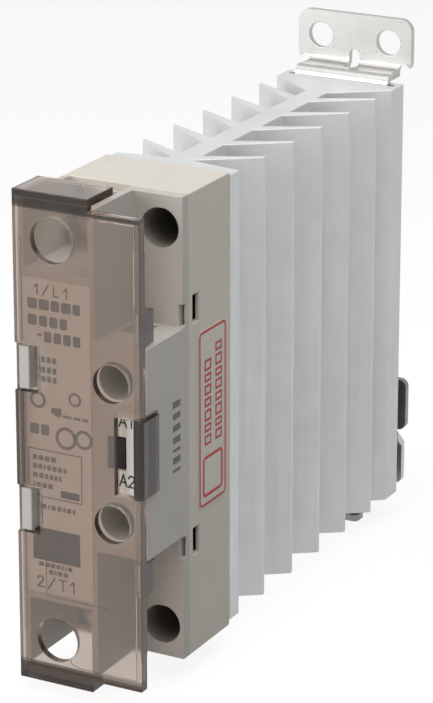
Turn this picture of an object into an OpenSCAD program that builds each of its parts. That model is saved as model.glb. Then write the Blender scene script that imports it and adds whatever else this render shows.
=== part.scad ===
// Slim solid state relay with heat sink, DIN rail clip and hinged terminal cover.
// Every module is drawn in the device frame: x = 0 on the centre plane, y = 0 on the
// cover's front face with +y to the back, z = 0 on the case's underside. at_rail() then
// moves it so that the origin is where the DIN rail's centre line meets the rail seat.

/* [Case] */
// Width of the case
case_w = 22.5; // [22:0.1:23]
// Height of the case
case_h = 77.7; // [76.8:0.1:79]
// Wall thickness of the case shells
wall = 1.3; // [1.1:0.1:1.4]
// Depth at which the case's front face starts behind the cover's front face
face_y = 2.2; // [2.1:0.1:2.4]
// Depth of the bottom of the two corner pockets
pocket_y = 13.7; // [13:0.1:14]
// Depth of the joint between the front and rear shells
seam_y = 15.5; // [15.3:0.1:15.7]
// Depth of the case's back face
back_y = 29.3; // [29:0.1:29.6]
// Height of the middle block that carries the input terminals
block_h = 35.0; // [34:0.1:36]
// Outer face of the tower that holds the load terminals
tower_x = 2.4; // [2.3:0.1:2.6]

/* [Terminal cover] */
// Thickness of the cover plate
cover_t = 1.3; // [1.2:0.1:1.4]
// Depth of the flange over the case's top
top_flange_d = 7.9; // [7:0.1:8.5]
// Depth of the flange under the case's bottom
bottom_flange_d = 3.8; // [3:0.1:4.5]
// Radius of the screwdriver holes over the load terminals
load_hole_r = 3.7; // [3.5:0.05:3.8]
// Radius of the screwdriver holes over the input terminals
input_hole_r = 3.1; // [3:0.05:3.2]

/* [Terminals] */
// Sideways place of the load terminals
load_x = -4.4; // [-4.6:0.1:-4.2]
// Height of the load terminals above and below the middle
load_dz = 33.2; // [33:0.1:33.4]
// Sideways place of the input terminals
input_x = 6.0; // [5.9:0.1:6.1]
// Height of the input terminals above and below the middle
input_dz = 11.6; // [11.4:0.1:11.8]
// Shank radius of the M4 load terminal screws
load_screw_r = 2.0; // [2]
// Shank radius of the M3.5 input terminal screws
input_screw_r = 1.75; // [1.75]

/* [Heat sink] */
// Height of the extrusion
sink_h = 76.4; // [75:0.1:78]
// Thickness of the plate behind the case
sink_plate_t = 3.4; // [3:0.1:3.8]
// Thickness of the central web
web_t = 4.0; // [3.6:0.1:4.4]
// Number of fins on each side
fin_count = 5; // [5]
// Distance between fins along the depth
fin_pitch = 10.36; // [10.2:0.01:10.4]
// Depth of the extrusion's rear face
sink_back_y = 94.1; // [94.1]

/* [Mounting] */
// Thickness of the sheet steel
sheet_t = 1.2; // [1.1:0.05:1.25]
// Distance between the two screw holes in the tab
tab_pitch = 13.2; // [13:0.1:13.6]
// Radius of the screw holes in the tab
tab_hole_r = 2.3; // [2.1:0.05:2.4]
// Depth of the rail seat, where the front of the DIN rail rests
seat_y = 95.9; // [95.9]
// Height of the rail's centre line above the case's underside
rail_z = 37.5; // [37.5]
// Travel of the slider that releases the rail
slider_travel = 4; // [3:0.5:4]

/* [Hidden] */
$fn = 64;

beige = "#d8cfc0";
smoke = "#8a7468";
steel = "#c9c6c0";
zinc = "#a9b59a";
copper = "#b87333";
eps = 0.01;

half_w = case_w / 2;
mid_z = case_h / 2;
block_z = [mid_z - block_h / 2, mid_z + block_h / 2];
inner_x = half_w - wall;

// Load terminal cavity: its side walls, its floor, and the roof of its rear part
cavity_x = [-half_w + 1.15, tower_x - wall];
cavity_floor_z = mid_z + 27.7;
cavity_roof_z = case_h - wall;
cavity_back_y = 15.9;
partition_t = 1.2;
load_z = mid_z + load_dz;
load_plate_y = 18.2;
load_plate_t = 1.2;
load_washer_t = 1.2;
load_head_h = 2.8;

// Input terminal chambers in the middle block
input_z = mid_z + input_dz;
chamber_x = [2.9, 9.1];
chamber_z = [input_z - 3.5, input_z + 3.5];
chamber_y = 8.8;
shaft_r = 3.2;
input_plate_y = 14.2;
input_plate_t = 1.0;
input_washer_t = 1.0;
input_head_h = 2.0;
wire_slot = [[3.0, 7.2], [chamber_y, 13.2]];

// Screws through the corner pockets into the heat sink
case_screw_x = 7.2;
case_screw_z = mid_z + 33.35;
case_screw_r = 1.5;
access_r = 3.25;
case_screw_seat_y = 24.5;

// Snap joints between the shells
snap_dz = 19.6;
snap_h = 4.7;
snap_y = [16.9, 18.85];
corner_slot_z = [block_z[1] + 0.15, mid_z + snap_dz + 1.65];

// Hinge of the cover
hinge_x = -10.7;
hinge_y = 0.8;
hinge_r = 0.5;
hinge_window_x = [-10.3, -7.05];
hinge_window_z = [mid_z + 7.95, mid_z + 15.75];
hinge_gap = 0.05;

// Cover outline: the part in front of the tower is taller than the rest
cover_half_w = 11.2;
cover_step_x = 2.3;
cover_z = [-0.2, 77.5];
tall_cover_z = [-2.1, 79.6];
flange_t = [1.75, 1.4];
latch_z = [mid_z - 6.5, mid_z + 6.35];
latch_x = [11.05, 11.85];
latch_d = 5.0;
mark_window_x = [6.6, 9.95];

// Light pipe of the indicator, and the lamp behind it
lamp_x = 5.95;
lens_x = [4.6, 7.25];
lens_z = [mid_z - 2.8, mid_z + 2.3];

// Rail clip
sheet_in_y = 91.95;
channel_y = 91.85;
channel_half_w = 10.2;
lip_t = 0.9;
lip_half_gap = 7.8;
sink_z = 0.8;
rail_half = 17.5;
strap_half_w = 9.0;
flange_x = [5.8, 7.0];
tab_y = [98.6 - sheet_t, 98.6];
tab_hole_z = 83.35;
leg_z = [sink_z + sink_h + 0.4, sink_z + sink_h + 0.4 + sheet_t];
strip_y = [sheet_in_y + sheet_t + 0.2, sheet_in_y + 2 * sheet_t + 0.2];
strip_half_w = 5.4;
jaw_half_w = 11.2;
leg_low_z = 11.5;
label_t = 0.12;
lug_z = 22.6;
spring_z = [23.8, 33.0];
spring_r = 1.7;
wire_r = 0.3;

// ---------- helpers ----------
module at_rail() { translate([0, -seat_y, -rail_z]) children(); }

// A box given by its low and high value on each axis
module box(x, y, z) {
    translate([x[0], y[0], z[0]])
        cube([x[1] - x[0], y[1] - y[0], z[1] - z[0]]);
}

// A cylinder along y
module rod_y(r, y, x, z) {
    translate([x, y[0], z]) rotate([-90, 0, 0]) cylinder(r = r, h = y[1] - y[0]);
}

// A cylinder along x
module rod_x(r, x, y, z) {
    translate([x[0], y, z]) rotate([0, 90, 0]) cylinder(r = r, h = x[1] - x[0]);
}

// A cylinder along z
module rod_z(r, z, x, y) {
    translate([x, y, z[0]]) cylinder(r = r, h = z[1] - z[0]);
}

// An xz outline drawn as a plate from y[0] to y[1]
module plate_y(y) { translate([0, y[1], 0]) rotate([90, 0, 0]) linear_extrude(y[1] - y[0]) children(); }

// A yz outline drawn as a plate from x[0] to x[1]
module plate_x(x) {
    translate([x[0], 0, 0]) rotate([90, 0, 90]) linear_extrude(x[1] - x[0]) children();
}

// A rectangle with round corners, low corner and high corner given
module round_rect(lo, hi, r) {
    for (x = [lo[0] + r, hi[0] - r]) {
        for (z = [lo[1] + r, hi[1] - r]) {
            translate([x, z]) circle(r);
        }
    }
    translate([lo[0] + r, lo[1]]) square([hi[0] - lo[0] - 2 * r, hi[1] - lo[1]]);
    translate([lo[0], lo[1] + r]) square([hi[0] - lo[0], hi[1] - lo[1] - 2 * r]);
}

// The same shape mirrored to the other end of the case
module flip_z() { translate([0, 0, mid_z]) mirror([0, 0, 1]) translate([0, 0, -mid_z]) children(); }

module both_ends() {
    children();
    flip_z() children();
}

// ---------- case ----------
module front_case_outside() {
    box([-half_w, tower_x], [face_y, seam_y], [0, case_h]);
    box([tower_x - eps, half_w], [face_y, seam_y], block_z);
    box([tower_x - eps, half_w], [pocket_y, seam_y], [0, case_h]);
    // hooks that hold the cover's hinge bar, closed at the back and the right
    both_ends() hinge_hook();
}

// The hook cradles the bar from its front right to its back left
module hinge_hook() {
    hook_z = [hinge_window_z[0] + 0.4, hinge_window_z[1] - 0.4];
    hook_out = [-11.1, -8.6];
    difference() {
        box(hook_out, [0.15, face_y + eps], hook_z);
        rod_z(hinge_r + hinge_gap, [hook_z[0] - 1, hook_z[1] + 1], hinge_x, hinge_y);
        // the mouth, through which the bar snaps in
        box([-12, hinge_x + 0.25], [-1, hinge_y], [hook_z[0] - 1, hook_z[1] + 1]);
        box([-12, hinge_x], [-1, hinge_y + 0.3], [hook_z[0] - 1, hook_z[1] + 1]);
    }
}

module load_cavity() {
    box(cavity_x, [face_y - 1, seam_y + 1], [cavity_floor_z, case_h + 1]);
}

module input_chamber() {
    rod_y(shaft_r, [face_y - 1, chamber_y + eps], input_x, input_z);
    box(chamber_x, [chamber_y, seam_y + 1], chamber_z);
    box(wire_slot[0], wire_slot[1], [input_z, block_z[1] + 1]);
}

// The hollow behind the label face, less the walls round the chambers
module electronics_bay() {
    bay_z = [mid_z - 26.5, mid_z + 26.5];
    difference() {
        union() {
            box([-inner_x, tower_x - wall], [face_y + wall, seam_y + 1], bay_z);
            box([-inner_x, inner_x - 0.35], [face_y + wall, seam_y + 1],
                [block_z[0] + wall, block_z[1] - wall]);
        }
        both_ends() {
            rod_y(shaft_r + partition_t, [face_y, chamber_y], input_x, input_z);
            box([chamber_x[0] - partition_t, half_w], [chamber_y - partition_t, seam_y + 2],
                [chamber_z[0] - partition_t, block_z[1]]);
        }
    }
}

module snap_tab() {
    tab_z = [mid_z + snap_dz - 2, mid_z + snap_dz + 2];
    for (side = [-1, 1]) {
        scale([side, 1, 1]) {
            box([inner_x - 1.1, inner_x - 0.1], [seam_y - 1, 19.2], tab_z);
            box([inner_x - 1.1, inner_x + eps], [seam_y - 1.5, seam_y], tab_z);
            translate([0, 0, mid_z + snap_dz - 1.8]) linear_extrude(3.6)
                polygon([[inner_x - 0.2, 17.1], [inner_x + 0.8, 17.1], [inner_x - 0.2, 19.1]]);
        }
    }
}

module front_case() at_rail() color(beige) {
    difference() {
        union() {
            difference() {
                front_case_outside();
                both_ends() {
                    load_cavity();
                    input_chamber();
                }
                electronics_bay();
            }
            both_ends() snap_tab();
        }
        both_ends() {
            rod_y(access_r, [pocket_y - 1, seam_y + 1], case_screw_x, case_screw_z);
            // slot in the pocket's corner in front of the snap tab
            box([half_w - 0.75, half_w + 1], [pocket_y - 1, pocket_y + 0.95], corner_slot_z);
            box([half_w - 0.75, half_w - 0.35], [pocket_y, seam_y + 1], corner_slot_z);
            // slot for the input terminal's tail
            box([4.9, 7.1], [14.1, seam_y + 1], [chamber_z[0] - 2, chamber_z[0] + 1]);
        }
        // window for the indicator
        box([lens_x[0] - 0.1, lens_x[1] + 0.1], [face_y - 1, face_y + wall + 1],
            [lens_z[0] - 0.1, lens_z[1] + 0.1]);
        // recess in the side for the cover's latch
        box([latch_x[0] - 0.2, half_w + 1], [face_y - 1, latch_d + 0.5],
            [latch_z[0] - 0.3, latch_z[1] + 0.3]);
    }
}

// The boss round a case screw, cut flush with the case's outside
module access_tube() {
    intersection() {
        rod_y(access_r + 1.05, [seam_y, back_y], case_screw_x, case_screw_z);
        box([-half_w, half_w], [seam_y, back_y], [0, case_h]);
    }
}

// The window that a snap hook looks out of, wider on the inside
module snap_window() {
    window_z = [mid_z + snap_dz - snap_h / 2, mid_z + snap_dz + snap_h / 2];
    box([inner_x - 1, half_w + 1], snap_y, window_z);
    box([inner_x - 1, half_w - 0.75], [snap_y[0], snap_y[1] + 1.4], window_z);
}

module rear_case() at_rail() color(beige) {
    spreader_hole = [[-8.5, 8.5], [16.4, 61.3]];
    difference() {
        union() {
            difference() {
                box([-half_w, half_w], [seam_y, back_y], [0, case_h]);
                box([-inner_x, inner_x], [seam_y - 1, back_y - 2], [wall, case_h - wall]);
            }
            both_ends() {
                // shelf, side wall and back that close the load terminal's cell
                box([-inner_x - eps, tower_x], [seam_y, 24], [cavity_floor_z - partition_t, cavity_floor_z]);
                box([cavity_x[1], tower_x], [seam_y, 24], [cavity_floor_z - eps, case_h - eps]);
                box([-inner_x - eps, tower_x], [22.8, 24], [cavity_floor_z - eps, case_h - eps]);
                access_tube();
            }
        }
        both_ends() {
            rod_y(access_r, [seam_y - 1, case_screw_seat_y], case_screw_x, case_screw_z);
            rod_y(case_screw_r + 0.2, [case_screw_seat_y - 1, back_y + 1], case_screw_x, case_screw_z);
            // passage for the load terminal's tail
            box([-6.9, -1.9], [17.9, 19.7], [cavity_floor_z - 2, cavity_floor_z + 1]);
            // front edge of the roof over the load terminal's cavity
            box(cavity_x, [seam_y - 1, cavity_back_y], [cavity_roof_z - 1, case_h + 1]);
            for (side = [-1, 1]) {
                scale([side, 1, 1])
                    snap_window();
            }
        }
        box(spreader_hole[0], [back_y - 3, back_y + 1], spreader_hole[1]);
    }
}

// ---------- cover ----------
module cover_outline() {
    translate([-cover_half_w, tall_cover_z[0]])
        square([cover_half_w + cover_step_x, tall_cover_z[1] - tall_cover_z[0]]);
    translate([cover_step_x - eps, cover_z[0]])
        square([cover_half_w - cover_step_x + eps, cover_z[1] - cover_z[0]]);
}

module cover_rim() {
    box([cover_half_w - 1.45, cover_half_w], [0, 1.8], cover_z);
    box([cover_step_x, cover_half_w], [0, 1.8], [cover_z[1] - 1.3, cover_z[1]]);
    box([cover_step_x, cover_half_w], [0, 1.8], [cover_z[0], cover_z[0] + 1.3]);
    box([-cover_half_w, hinge_window_x[0]], [0, 1.6], tall_cover_z);
}

// The latch: a bar beside the mark window and a flap that wraps the case's side
module cover_latch() {
    box([mark_window_x[1], latch_x[1]], [0, 1.8], latch_z);
    box(latch_x, [0, latch_d], latch_z);
    rod_z(0.8, latch_z, latch_x[0] - 0.2, 1.6);
}

module terminal_cover() at_rail() color(smoke, 0.5) {
    difference() {
        union() {
            plate_y([0, cover_t]) cover_outline();
            cover_rim();
            box([-cover_half_w, cover_step_x], [0, top_flange_d],
                [tall_cover_z[1] - flange_t[1], tall_cover_z[1]]);
            box([-cover_half_w, cover_step_x], [0, bottom_flange_d],
                [tall_cover_z[0], tall_cover_z[0] + flange_t[0]]);
            // legs above and below the middle block
            box([9.9, 11.0], [cover_t - eps, 4.9], [block_z[1] + 0.4, block_z[1] + 5.9]);
            box([9.9, 11.0], [cover_t - eps, 4.9], [block_z[0] - 5.9, block_z[0] - 0.4]);
            cover_latch();
        }
        both_ends() {
            rod_y(load_hole_r, [-1, cover_t + 1], load_x + 0.15, load_z);
            rod_y(input_hole_r, [-1, cover_t + 1], input_x, input_z);
            box([-cover_half_w - 1, hinge_window_x[1]], [-1, 3], hinge_window_z);
        }
        box(mark_window_x, [-1, 3], latch_z);
        // clearance for the case's front beside the latch bar
        box([mark_window_x[1] - 1, latch_x[0] - eps], [1.8, latch_d + 1], [latch_z[0] - 1, latch_z[1] + 1]);
    }
    // hinge bars across the two windows
    both_ends() rod_z(hinge_r, [hinge_window_z[0] - eps, hinge_window_z[1] + eps], hinge_x, hinge_y);
}

// ---------- labels and indicator ----------
// The front label leaves the hinge hooks free
module front_label() at_rail() color("#c9c2b8") {
    label_y = [face_y - label_t, face_y];
    difference() {
        box([-10.4, 1.6], label_y, [mid_z - 26.2, mid_z + 26.2]);
        both_ends()
            box([-12, -8.4], [label_y[0] - 1, label_y[1] + 1],
                [hinge_window_z[0] + 0.2, hinge_window_z[1] - 0.2]);
    }
}

module side_label() at_rail() color("#cc4433")
    plate_x([half_w, half_w + label_t]) round_rect([18.6, mid_z - 14.8], [27.8, mid_z + 15.2], 0.5);

module indicator_lens() at_rail() color("#2a2a2e")
    box(lens_x, [face_y - 0.15, 15.8], lens_z);

module indicator_lamp() at_rail() color("orange") {
    rod_y(0.9, [16.3, 18.6], lamp_x, mid_z);
    rod_y(1.2, [18.6, 19.95], lamp_x, mid_z);
}

// ---------- terminals ----------
// A tapped plate that carries the screw and a tail down to the power element
module load_busbar() {
    tail_x = [-6.6, -2.2];
    difference() {
        union() {
            box([load_x - 4.4, load_x + 4.4], [load_plate_y, load_plate_y + load_plate_t],
                [load_z - 5.3, load_z + 4.1]);
            rod_y(3.1, [load_plate_y, 22.4], load_x, load_z);
        }
        rod_y(load_screw_r + 0.05, [load_plate_y - 1, 23], load_x, load_z);
    }
    box(tail_x, [load_plate_y, load_plate_y + load_plate_t], [mid_z + 21.2, load_z - 5]);
    box(tail_x, [load_plate_y, 26.6], [mid_z + 21.2, mid_z + 22.4]);
    box(tail_x, [25.6, 26.6], [mid_z + 6.2, mid_z + 22.4]);
}

module line_terminal() at_rail() color("#c8b878") load_busbar();

module load_terminal() at_rail() color("#c8b878") flip_z() load_busbar();

module input_busbar() {
    difference() {
        union() {
            box([input_x - 2.8, input_x + 2.8], [input_plate_y, input_plate_y + input_plate_t],
                [input_z - 3.4, input_z + 3.2]);
            rod_y(2.6, [input_plate_y, 17.6], input_x, input_z);
        }
        rod_y(input_screw_r + 0.05, [input_plate_y - 1, 18], input_x, input_z);
    }
    box([5.0, 7.0], [input_plate_y, input_plate_y + input_plate_t], [chamber_z[0] - 1.9, input_z - 3]);
    box([5.0, 7.0], [input_plate_y, 19.95], [chamber_z[0] - 1.9, chamber_z[0] - 1.1]);
}

module input_terminal_a1() at_rail() color("#c8b878") input_busbar();

module input_terminal_a2() at_rail() color("#c8b878") flip_z() input_busbar();

// A pan head screw along y, with a crossed slot in its head
module terminal_screw(x, z, shank_r, head_r, head_y, head_h, end_y) {
    slot = head_r * 0.22;
    slot_d = head_h * 0.45;
    difference() {
        union() {
            rod_y(shank_r, [head_y, end_y], x, z);
            translate([x, head_y, z]) rotate([-90, 0, 0]) rotate_extrude()
                polygon([[0, 0], [head_r - 0.6, 0], [head_r, 0.7], [head_r, head_h], [0, head_h]]);
        }
        box([x - slot / 2, x + slot / 2], [head_y - 1, head_y + slot_d],
            [z - head_r * 0.8, z + head_r * 0.8]);
        box([x - head_r - 1, x + head_r + 1], [head_y - 1, head_y + slot_d], [z - slot / 2, z + slot / 2]);
    }
}

module load_terminal_screw()
    terminal_screw(load_x, load_z, load_screw_r, 3.9, load_plate_y - load_washer_t - load_head_h,
        load_head_h, 22.4);

module input_terminal_screw()
    terminal_screw(input_x, input_z, input_screw_r, 2.9, input_plate_y - input_washer_t - input_head_h,
        input_head_h, 17.6);

module line_screw() at_rail() color(steel) load_terminal_screw();

module load_screw() at_rail() color(steel) flip_z() load_terminal_screw();

module input_screw_a1() at_rail() color(steel) input_terminal_screw();

module input_screw_a2() at_rail() color(steel) flip_z() input_terminal_screw();

// A square clamping washer that rises with its screw
module square_washer(x, z, half, y, hole_r) {
    difference() {
        box([x - half, x + half], y, [z - half, z + half]);
        rod_y(hole_r, [y[0] - 1, y[1] + 1], x, z);
    }
}

module load_terminal_washer()
    square_washer(load_x, load_z, 4.1, [load_plate_y - load_washer_t, load_plate_y], load_screw_r + 0.08);

module input_terminal_washer()
    square_washer(input_x, input_z, 2.95, [input_plate_y - input_washer_t, input_plate_y],
        input_screw_r + 0.08);

module line_washer() at_rail() color(steel) load_terminal_washer();

module load_washer() at_rail() color(steel) flip_z() load_terminal_washer();

module input_washer_a1() at_rail() color(steel) input_terminal_washer();

module input_washer_a2() at_rail() color(steel) flip_z() input_terminal_washer();

// ---------- electronics ----------
board_y = [20.0, 21.6];

module circuit_board() at_rail() color("#2f6b3a")
    box([-9.4, 9.4], board_y, [mid_z - 19, mid_z + 19]);

module photocoupler() at_rail() color("#222222") {
    middle = mid_z + 3;
    box([-2.0, 4.3], [16.6, 19.6], [middle - 3.6, middle + 3.6]);
    for (x = [-1.8, 3.7]) {
        for (row = [-1, 0, 1]) {
            box([x, x + 0.4], [19.5, board_y[0]], [middle + row * 2.54 - 0.25, middle + row * 2.54 + 0.25]);
        }
    }
}

module input_driver() at_rail() color("#333333")
    box([2.0, 7.4], [18.4, board_y[0]], [mid_z - 18, mid_z - 13]);

module snubber_capacitor() at_rail() color("#b8864b")
    box([-9.2, -2.4], [8.4, board_y[0]], [mid_z + 2.6, mid_z + 17.0]);

module snubber_resistor() at_rail() color("#7fb0c8") {
    lead_x = [-1.1, -0.7];
    body_z = [mid_z - 11, mid_z - 2];
    rod_z(1.6, body_z, -0.9, 17.6);
    box(lead_x, [17.4, 17.8], [body_z[0] - 1.2, body_z[0] + eps]);
    box(lead_x, [17.4, 17.8], [body_z[1] - eps, body_z[1] + 1]);
    box(lead_x, [17.4, board_y[0]], [body_z[0] - 1.2, body_z[0] - 0.8]);
    box(lead_x, [17.4, board_y[0]], [body_z[1] + 0.6, body_z[1] + 1]);
}

module surge_varistor() at_rail() color("#3465a4") {
    rod_x(4.6, [-8.0, -4.4], 13.6, mid_z - 9.4);
    for (z = [mid_z - 12, mid_z - 6.8]) {
        box([-6.5, -5.9], [16, board_y[0]], [z - 0.3, z + 0.3]);
    }
}

module ceramic_substrate() at_rail() color("white")
    box([-7.6, 7.6], [27.0, 27.65], [mid_z - 18.5, mid_z + 18.5]);

module thyristor_chips() at_rail() color("#555566") {
    for (z = [mid_z - 11, mid_z + 11]) {
        box([-7.3, -0.6], [26.6, 27.0], [z - 3.4, z + 3.4]);
    }
}

module heat_spreader() at_rail() color(copper)
    box([-8.4, 8.4], [27.65, 29.1], [mid_z - 22.35, mid_z + 22.35]);

module thermal_sheet() at_rail() color("#dddddd")
    box([-8.4, 8.4], [29.1, back_y + 0.1], [mid_z - 22.35, mid_z + 22.35]);

module case_screws() at_rail() color(steel)
    both_ends() terminal_screw(case_screw_x, case_screw_z, case_screw_r, 2.75,
        case_screw_seat_y - 2.1, 2.1, back_y + 0.1 + sink_plate_t);

// ---------- heat sink ----------
sink_front_y = back_y + 0.1;

// One fin's outline on the right side: root front, tip front, tip back, root back
function fin_points(i) = let (y = sink_front_y + 4.85 + i * fin_pitch) [
    [0, y - 1.4], [web_t / 2, y], [half_w - 0.01, y + 6.75], [half_w - 0.01, y + 7.6],
    [web_t / 2, y + 2.75], [0, y + 2.75]];

module sink_half() {
    base_y = 82.3;
    edge_x = half_w - 0.01;
    polygon([[0, sink_front_y], [edge_x, sink_front_y], [edge_x, sink_front_y + sink_plate_t - 0.2],
        [web_t / 2, sink_front_y + sink_plate_t + 1.2], [0, sink_front_y + sink_plate_t + 1.2]]);
    translate([0, sink_front_y + 1]) square([web_t / 2, sink_back_y - sink_front_y - 4]);
    for (i = [0:fin_count - 1]) {
        polygon(fin_points(i));
    }
    difference() {
        polygon([[0, base_y - 1], [web_t / 2, base_y], [edge_x, 89.3], [edge_x, sink_back_y],
            [0, sink_back_y]]);
        translate([-1, channel_y]) square([channel_half_w + 1, sink_back_y - lip_t - channel_y]);
        translate([-1, channel_y]) square([lip_half_gap + 1, 10]);
    }
}

module heat_sink() at_rail() color("#b9bbbd") {
    difference() {
        translate([0, 0, sink_z]) linear_extrude(sink_h) {
            sink_half();
            mirror([1, 0]) sink_half();
        }
        both_ends()
            rod_y(case_screw_r + 0.05, [sink_front_y - 1, 36], case_screw_x, case_screw_z);
        for (z = rivet_z) {
            rod_y(1.55, [87.9, channel_y + 1], 0, z);
        }
    }
}

// ---------- DIN rail clip ----------
rivet_z = [50, 68];

// Side view of the two flanges: rail seat, and the fixed hook over the rail's upper edge
module flange_outline() {
    hook_z = rail_z + rail_half + 0.3;
    polygon([[sheet_in_y, 16.5], [seat_y, 16.5], [seat_y, hook_z], [tab_y[0] - 0.1, hook_z],
        [tab_y[0] - 0.1, hook_z - 1.9], [tab_y[1], hook_z - 1.9], [tab_y[1], hook_z + 2.4],
        [seat_y, hook_z + 5.1], [sheet_in_y, hook_z + 5.1]]);
}

// A quarter of a ring in the plane, which is the section of a bend: r is its inner radius
// and the quarter starts at the given angle
module bend(centre, r, angle) {
    translate(centre) intersection() {
        difference() {
            circle(r + sheet_t);
            circle(r);
        }
        rotate(angle) square(r + sheet_t + 1);
    }
}

// Side view of the strap: up the channel, back over the extrusion's top, then up the tab
module strap_outline() {
    low_z = 15.4;
    bends = [0.5, 0.8];
    first = [sheet_in_y + sheet_t + bends[0], leg_z[0] - bends[0]];
    second = [tab_y[0] - bends[1], leg_z[1] + bends[1]];
    translate([sheet_in_y, low_z]) square([sheet_t, first[1] - low_z + eps]);
    bend(first, bends[0], 90);
    translate([first[0] - eps, leg_z[0]]) square([second[0] - first[0] + 2 * eps, sheet_t]);
    bend(second, bends[1], 270);
    translate([tab_y[0], second[1] - eps]) square([sheet_t, 2]);
}

// The strap and its tab for two panel screws, with a round notch at each end of the neck
module strap_and_tab() {
    tab_half_w = 11.03;
    tab_low_z = leg_z[1] + 0.5;
    notch_r = 1.15;
    slot_ends = [tab_y[0] - 2, leg_z[1] + 1.6];
    difference() {
        union() {
            plate_x([-strap_half_w, strap_half_w]) strap_outline();
            plate_y(tab_y) difference() {
                round_rect([-tab_half_w, tab_low_z - 1.3], [tab_half_w, 87.8], 2.2);
                translate([-strap_half_w, tab_low_z - 2])
                    square([2 * strap_half_w, leg_z[1] + 0.8 - tab_low_z + 2]);
            }
        }
        for (x = [-tab_pitch / 2, tab_pitch / 2]) {
            rod_y(tab_hole_r, [tab_y[0] - 1, tab_y[1] + 1], x, tab_hole_z);
        }
        for (side = [-1, 1]) {
            rod_y(notch_r, [tab_y[0] - 3, tab_y[1] + 1], side * (strap_half_w + 0.75), leg_z[1] - 0.2);
        }
        // relief slot in the middle of the bend
        box([-1, 1], [slot_ends[0], tab_y[1] + 1], [leg_z[0] - 1, slot_ends[1]]);
        rod_y(1, [slot_ends[0], tab_y[1] + 1], 0, slot_ends[1]);
        rod_z(1, [leg_z[0] - 1, leg_z[1] + 1], 0, slot_ends[0]);
    }
}

// The foot at the bottom, which steps out of the channel to clear the slider
module bracket_foot() {
    step_z = 9.5;
    low_y = tab_y[0] - 1.4;
    difference() {
        union() {
            plate_y([low_y, low_y + sheet_t]) round_rect([-jaw_half_w, 1.7], [jaw_half_w, step_z], 1.2);
            difference() {
                plate_x([-jaw_half_w, jaw_half_w])
                    polygon([[low_y, step_z - 1.3], [low_y + sheet_t, step_z - 1.3],
                        [low_y + sheet_t, step_z], [sheet_in_y + sheet_t, step_z + 4.05],
                        [sheet_in_y + sheet_t, step_z + 6], [sheet_in_y, step_z + 6],
                        [sheet_in_y, step_z + 3.55], [low_y, step_z - 0.5]]);
                for (side = [-1, 1]) {
                    scale([side, 1, 1]) box([7.4, 20], [80, sink_back_y + 0.2], [0, 40]);
                }
            }
        }
        // the leg of the slider passes here
        box([-5.8, 5.8], [80, 110], [leg_low_z - slider_travel - 0.9, 20]);
    }
}

module din_bracket() at_rail() color(steel) {
    difference() {
        union() {
            difference() {
                strap_and_tab();
                for (z = rivet_z) {
                    rod_y(1.55, [80, 100], 0, z);
                }
            }
            for (x = [flange_x, [-flange_x[1], -flange_x[0]]]) {
                plate_x(x) flange_outline();
            }
            bracket_foot();
            // strap that keeps the slider between the flanges
            box([-flange_x[1], flange_x[1]], [strip_y[1] + 0.2, seat_y - 0.1], [37.5, 41]);
            // lug under the spring
            box([-1.5, 1.5], [sheet_in_y, seat_y], [lug_z, lug_z + 1.2]);
        }
        // room for the slider's leg, and the slot that the spring's lug is bent out of
        box([-5.8, 5.8], [sheet_in_y - 1, sheet_in_y + 3], [leg_low_z - 1.5, leg_low_z + 5]);
        box([-2.0, 2.0], [sheet_in_y - 1, sheet_in_y + sheet_t + eps], [spring_z[0], spring_z[1] + 0.6]);
    }
}

module bracket_rivets() at_rail() color("#d0d0d0") {
    for (z = rivet_z) {
        rod_y(1.5, [88, sheet_in_y + sheet_t + 0.1], 0, z);
        translate([0, sheet_in_y + sheet_t, z]) rotate([-90, 0, 0]) rotate_extrude()
            polygon([[0, 0], [2.6, 0], [2.6, 0.3], [1.6, 0.9], [0, 1.0]]);
    }
}

module din_slider() at_rail() color(zinc) {
    jaw_z = [leg_low_z, 21.1];
    tongue_z = [-4.0, -4.0 + sheet_t];
    bend_r = 0.6;
    bend_at = [strip_y[0] - bend_r, tongue_z[1] + bend_r];
    difference() {
        union() {
            box([-strip_half_w, strip_half_w], strip_y, [bend_at[1] - eps, 42]);
            plate_x([-strip_half_w, strip_half_w]) bend(bend_at, bend_r, 270);
            // the tongue that a screwdriver pulls down
            translate([0, 0, tongue_z[0]]) linear_extrude(sheet_t) {
                round_rect([-6.2, 88], [6.2, 91.4], 1);
                translate([-strip_half_w, 90]) square([2 * strip_half_w, bend_at[0] - 90 + eps]);
            }
            // the leg and the jaw behind the rail's lower edge
            box([-5, 5], [strip_y[0], tab_y[1]], [jaw_z[0], jaw_z[0] + sheet_t]);
            plate_y(tab_y) round_rect([-jaw_half_w, jaw_z[0]], [jaw_half_w, jaw_z[1]], 1.4);
        }
        box([-1.9, 1.9], [strip_y[0] - 1, strip_y[1] + 1], [lug_z - 0.3, spring_z[1]]);
    }
}

// The spring's envelope: a tube with the coil's outer and inner radius
module din_spring() at_rail() color("silver") {
    spring_y = strip_y[0] + 0.6;
    difference() {
        rod_z(spring_r, spring_z, 0, spring_y);
        rod_z(spring_r - 2 * wire_r, [spring_z[0] - 1, spring_z[1] + 1], 0, spring_y);
    }
}

front_case();
rear_case();
terminal_cover();
front_label();
side_label();
indicator_lens();
indicator_lamp();
line_terminal();
load_terminal();
input_terminal_a1();
input_terminal_a2();
line_screw();
load_screw();
input_screw_a1();
input_screw_a2();
line_washer();
load_washer();
input_washer_a1();
input_washer_a2();
circuit_board();
photocoupler();
input_driver();
snubber_capacitor();
snubber_resistor();
surge_varistor();
ceramic_substrate();
thyristor_chips();
heat_spreader();
thermal_sheet();
case_screws();
heat_sink();
din_bracket();
bracket_rivets();
din_slider();
din_spring();
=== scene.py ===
import bpy, bmesh, math
from itertools import cycle
from mathutils import Matrix, Vector
from mathutils.bvhtree import BVHTree
from mathutils.geometry import intersect_line_line_2d, intersect_point_line


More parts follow.
